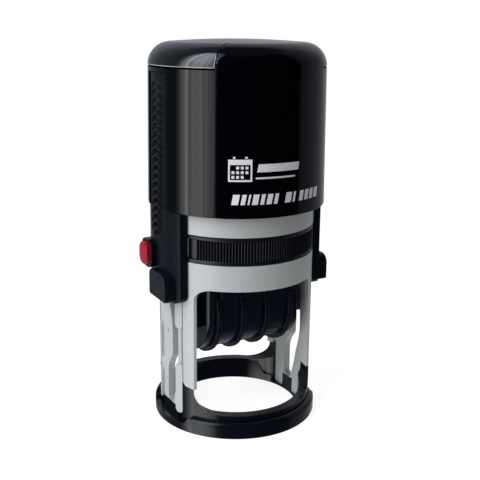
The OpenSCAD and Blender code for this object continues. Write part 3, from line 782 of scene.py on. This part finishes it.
def make_spring():
    """Wire spring with a round section and closed ends."""
    low, high = box_mm("main_spring")
    wire, r, turns = 0.45, 9.0, 8.5
    z1, z2 = low[2] + wire, high[2] - wire
    steps, sides = int(turns * 40), 12
    verts, faces = [], []
    # The closed turns at the ends lie nearly flat, the middle rises evenly
    flat, flat_rise = 0.9, 0.035
    for i in range(steps + 1):
        t = i / steps
        turn = t * turns
        middle = min(max((turn - flat) / (turns - 2 * flat), 0), 1)
        rise = (flat_rise * min(turn / flat, 1) + (1 - 2 * flat_rise) * middle
                + flat_rise * max(0, (turn - turns + flat) / flat))
        a = 2 * math.pi * turns * t
        z = z1 + (z2 - z1) * rise
        for k in range(sides):
            b = 2 * math.pi * k / sides
            rr = r + wire * math.cos(b)
            verts.append((rr * math.cos(a), rr * math.sin(a), z + wire * math.sin(b)))
    for i in range(steps):
        for k in range(sides):
            m = (k + 1) % sides
            faces.append([i * sides + k, i * sides + m, (i + 1) * sides + m, (i + 1) * sides + k])
    last = steps * sides
    faces += [[k for k in range(sides)][::-1], [last + k for k in range(sides)]]
    spring = clean(make_object("main_spring_wire", verts, faces))
    for p in spring.data.polygons:
        p.use_smooth = True
    place(spring, "frame", "spring_steel", STEEL, "main_spring")
    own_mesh(spring)


make_base()
make_shell()
make_cover()
make_print()
make_arms()
make_cartridge()
make_button()
make_spring()
for wheel, side in (("month_wheel", -1), ("day_tens_wheel", -1), ("day_units_wheel", 1), ("year_wheel", 1)):
    make_wheel(wheel, side)

for node, body, slot, mat, width in (
        ("lower_frame", "frame", "frame_grey", GREY, 0.22),
        ("upper_frame", "frame", "frame_grey", GREY, 0.2),
        ("left_pin_cover", "handle", "arm_charcoal", CHARCOAL, 0.3),
        ("right_pin_cover", "handle", "arm_charcoal", CHARCOAL, 0.3),
        ("index_card", "handle", "card", CARD, 0.03),
        ("ink_pad", "ink_cartridge", "felt", FELT, 0.3),
        ("left_pivot_pin", "pivot_pins", "pin_steel", PIN_STEEL, 0.15),
        ("right_pivot_pin", "pivot_pins", "pin_steel", PIN_STEEL, 0.15),
        ("carriage_frame", "carriage", "carriage_navy", NAVY, 0.25),
        ("wheel_guard", "carriage", "carriage_navy", NAVY, 0.2),
        ("wheel_shaft", "carriage", "pin_steel", PIN_STEEL, 0.15),
        ("band_bridge", "carriage", "carriage_navy", NAVY, 0.1),
        ("die_plate", "carriage", "carriage_navy", NAVY, 0.15),
        ("text_die", "carriage", "die_rubber", DIE, 0.15),
        ("month_band", "carriage", "band_rubber", BAND, 0.12),
        ("day_tens_band", "carriage", "band_rubber", BAND, 0.12),
        ("day_units_band", "carriage", "band_rubber", BAND, 0.12),
        ("year_band", "carriage", "band_rubber", BAND, 0.12),
        ("left_flip_cam", "carriage", "carriage_navy", NAVY, 0.2),
        ("right_flip_cam", "carriage", "carriage_navy", NAVY, 0.2)):
    refine(node, body, slot, mat, width)
lock_coil = refine("lock_spring", "handle", "spring_steel", STEEL, 0)
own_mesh(lock_coil)


# ---------------------------------------------------------------- studio

def wall_colour(level):
    """Pale walls are neutral, dark ones a little blue."""
    return (level, level, level, 1) if level > 0.8 else (level * 0.92, level, level * 1.1, 1)


def blend_in(tree, value, start, full, below, above):
    """Goes from one colour to another as a value rises. The colour above is three numbers or a socket."""
    step = tree.nodes.new("ShaderNodeMapRange")
    step.interpolation_type = "SMOOTHSTEP"
    step.inputs["From Min"].default_value = start
    step.inputs["From Max"].default_value = full
    mix = tree.nodes.new("ShaderNodeMix")
    mix.data_type = "RGBA"
    if isinstance(above, tuple):
        mix.inputs["B"].default_value = (*above, 1)
    else:
        tree.links.new(above, mix.inputs["B"])
    tree.links.new(value, step.inputs["Value"])
    tree.links.new(step.outputs["Result"], mix.inputs["Factor"])
    tree.links.new(below, mix.inputs["A"])
    return mix.outputs["Result"]


def nearness(tree, direction, azimuth, height):
    """How near a direction is to an azimuth and a height, both in degrees: 1 is right there."""
    a, h = math.radians(azimuth), math.radians(height)
    dot = tree.nodes.new("ShaderNodeVectorMath")
    dot.operation = "DOT_PRODUCT"
    dot.inputs[1].default_value = (math.sin(a) * math.cos(h), -math.cos(a) * math.cos(h), math.sin(h))
    tree.links.new(direction, dot.inputs[0])
    return dot.outputs["Value"]


def make_world():
    """Plain soft studio: white to the camera, and to the gloss a dark front with pale walls at the sides."""
    world = bpy.data.worlds.new("studio")
    bpy.context.scene.world = world
    world.use_nodes = True
    tree = world.node_tree
    tree.nodes.clear()
    link = tree.links.new
    out = tree.nodes.new("ShaderNodeOutputWorld")
    coords = tree.nodes.new("ShaderNodeTexCoord")
    split = tree.nodes.new("ShaderNodeSeparateXYZ")
    link(coords.outputs["Generated"], split.inputs[0])
    azimuth = tree.nodes.new("ShaderNodeMath")
    azimuth.operation = "ARCTAN2"
    flip = tree.nodes.new("ShaderNodeMath")
    flip.operation = "MULTIPLY"
    flip.inputs[1].default_value = -1
    link(split.outputs["Y"], flip.inputs[0])
    link(split.outputs["X"], azimuth.inputs[0])
    link(flip.outputs[0], azimuth.inputs[1])
    turn = tree.nodes.new("ShaderNodeMapRange")
    turn.inputs["From Min"].default_value = -math.pi
    turn.inputs["From Max"].default_value = math.pi
    link(azimuth.outputs[0], turn.inputs["Value"])
    ramp = tree.nodes.new("ShaderNodeValToRGB")
    link(turn.outputs["Result"], ramp.inputs["Fac"])
    # Azimuth from the front in degrees, and how bright the wall is there
    walls = [(-180, 0.28), (-128, 0.10), (-118, 0.05), (-112, 0.08), (-106, 0.35), (-101, 1.25), (-96.5, 1.6),
             (-95, 2.9), (-92.5, 2.9), (-91, 1.35), (-87, 1.45), (-85.5, 2.0), (-82, 1.8), (-77, 1.85),
             (-75.5, 1.6), (-74, 2.15), (-72, 2.1), (-70.5, 1.4), (-67.5, 1.45), (-66, 1.85), (-64.5, 1.2),
             (-60, 1.05), (-57, 0.9), (-54.5, 0.25), (-53, 0.002), (56, 0.002), (61, 0.10), (100, 0.20),
             (125, 0.36), (150, 0.50), (180, 0.28)]
    elements = ramp.color_ramp.elements
    while len(elements) > 1:
        elements.remove(elements[-1])
    elements[0].position = 0
    elements[0].color = wall_colour(walls[0][1])
    for degrees, level in walls[1:]:
        elements.new((degrees + 180) / 360).color = wall_colour(level)
    # Above the walls a dim ceiling
    ceiling = blend_in(tree, split.outputs["Z"], 0.78, 0.92, ramp.outputs["Color"], (0.055, 0.060, 0.070))
    # Sky in the window to the left, and a pale wall high up behind, to the right
    sky = nearness(tree, coords.outputs["Generated"], -76, 44)
    window = tree.nodes.new("ShaderNodeVectorMath")
    window.operation = "MULTIPLY"
    window.inputs[1].default_value = (1.15, 1.3, 1.5)
    link(ramp.outputs["Color"], window.inputs[0])
    with_sky = blend_in(tree, sky, 0.88, 0.96, ceiling, window.outputs[0])
    behind = nearness(tree, coords.outputs["Generated"], 152, 26)
    room_colour = blend_in(tree, behind, 0.72, 0.90, with_sky, (0.34, 0.36, 0.39))
    rays = tree.nodes.new("ShaderNodeLightPath")
    room = tree.nodes.new("ShaderNodeBackground")
    link(room_colour, room.inputs["Color"])
    white = tree.nodes.new("ShaderNodeBackground")
    white.inputs["Color"].default_value = (1, 1, 1, 1)
    white.inputs["Strength"].default_value = 1.0
    pick = tree.nodes.new("ShaderNodeMixShader")
    link(rays.outputs["Is Camera Ray"], pick.inputs["Fac"])
    link(room.outputs[0], pick.inputs[1])
    link(white.outputs[0], pick.inputs[2])
    link(pick.outputs[0], out.inputs["Surface"])


def area_light(name, azimuth, height, distance, size, power, colour=(1, 1, 1), seen_in_gloss=False):
    """A soft light that faces the middle of the object. Azimuth is counted from the front."""
    data = bpy.data.lights.new(name, "AREA")
    data.shape = "RECTANGLE"
    data.size, data.size_y = size
    data.energy = power
    data.color = colour
    light = bpy.data.objects.new(name, data)
    bpy.context.scene.collection.objects.link(light)
    a = math.radians(azimuth)
    light.location = (distance * math.sin(a), -distance * math.cos(a), height)
    aim = Vector((0, 0, 0.05)) - light.location
    light.rotation_euler = aim.to_track_quat("-Z", "Y").to_euler()
    light.visible_glossy = seen_in_gloss
    return light


def make_floor():
    """Pale floor under the object that melts into the white of the studio."""
    half, z = 900, -0.02
    floor = make_object("floor", [(-half, -half, z), (half, -half, z), (half, half, z), (-half, half, z)],
                        [[0, 1, 2, 3]])
    mat = bpy.data.materials.new("floor")
    mat.use_nodes = True
    tree = mat.node_tree
    shader = tree.nodes["Principled BSDF"]
    shader.inputs["Base Color"].default_value = (0.35, 0.35, 0.35, 1)
    shader.inputs["Emission Color"].default_value = (1, 1, 1, 1)
    shader.inputs["Emission Strength"].default_value = 0.86
    shader.inputs["Roughness"].default_value = 0.9
    shader.inputs["Specular IOR Level"].default_value = 0.0
    coords = tree.nodes.new("ShaderNodeTexCoord")
    reach = tree.nodes.new("ShaderNodeVectorMath")
    reach.operation = "LENGTH"
    tree.links.new(coords.outputs["Object"], reach.inputs[0])
    fade = tree.nodes.new("ShaderNodeMapRange")
    fade.interpolation_type = "SMOOTHSTEP"
    fade.inputs["From Min"].default_value = 0.04
    fade.inputs["From Max"].default_value = 0.22
    fade.inputs["To Min"].default_value = 1.0
    fade.inputs["To Max"].default_value = 0.0
    tree.links.new(reach.outputs["Value"], fade.inputs["Value"])
    tree.links.new(fade.outputs["Result"], shader.inputs["Alpha"])
    floor.data.materials.append(mat)
    floor.visible_glossy = False


def make_camera():
    """Camera a little to the left of the front and above, as a hand-held product shot."""
    azimuth, elevation, roll, distance = -28.0, 14.76, 0.51, 233.04
    data = bpy.data.cameras.new("camera")
    data.sensor_width = 36
    data.lens = 62.55
    data.shift_x = 0.009
    data.clip_start = 0.01
    camera = bpy.data.objects.new("camera", data)
    bpy.context.scene.collection.objects.link(camera)
    a, e = math.radians(azimuth), math.radians(elevation)
    target = Vector((0, 0, 49.27)) * MM
    back = Vector((math.sin(a) * math.cos(e), -math.cos(a) * math.cos(e), math.sin(e)))
    camera.location = target + back * distance * MM
    look = (-back).to_track_quat("-Z", "Y").to_matrix().to_4x4()
    camera.rotation_euler = (look @ Matrix.Rotation(math.radians(roll), 4, "Z")).to_euler()
    bpy.context.scene.camera = camera


make_world()
make_floor()
make_camera()
area_light("key", -78, 0.40, 0.55, (0.45, 0.45), 1.75)
area_light("front_fill", 5, 0.30, 0.6, (0.6, 0.5), 0.25)
area_light("rear_fill", 170, 0.45, 0.6, (0.6, 0.5), 1.0)
area_light("top", 0, 0.75, 0.02, (0.6, 0.6), 1.0)
bpy.context.scene.view_settings.view_transform = "Standard"
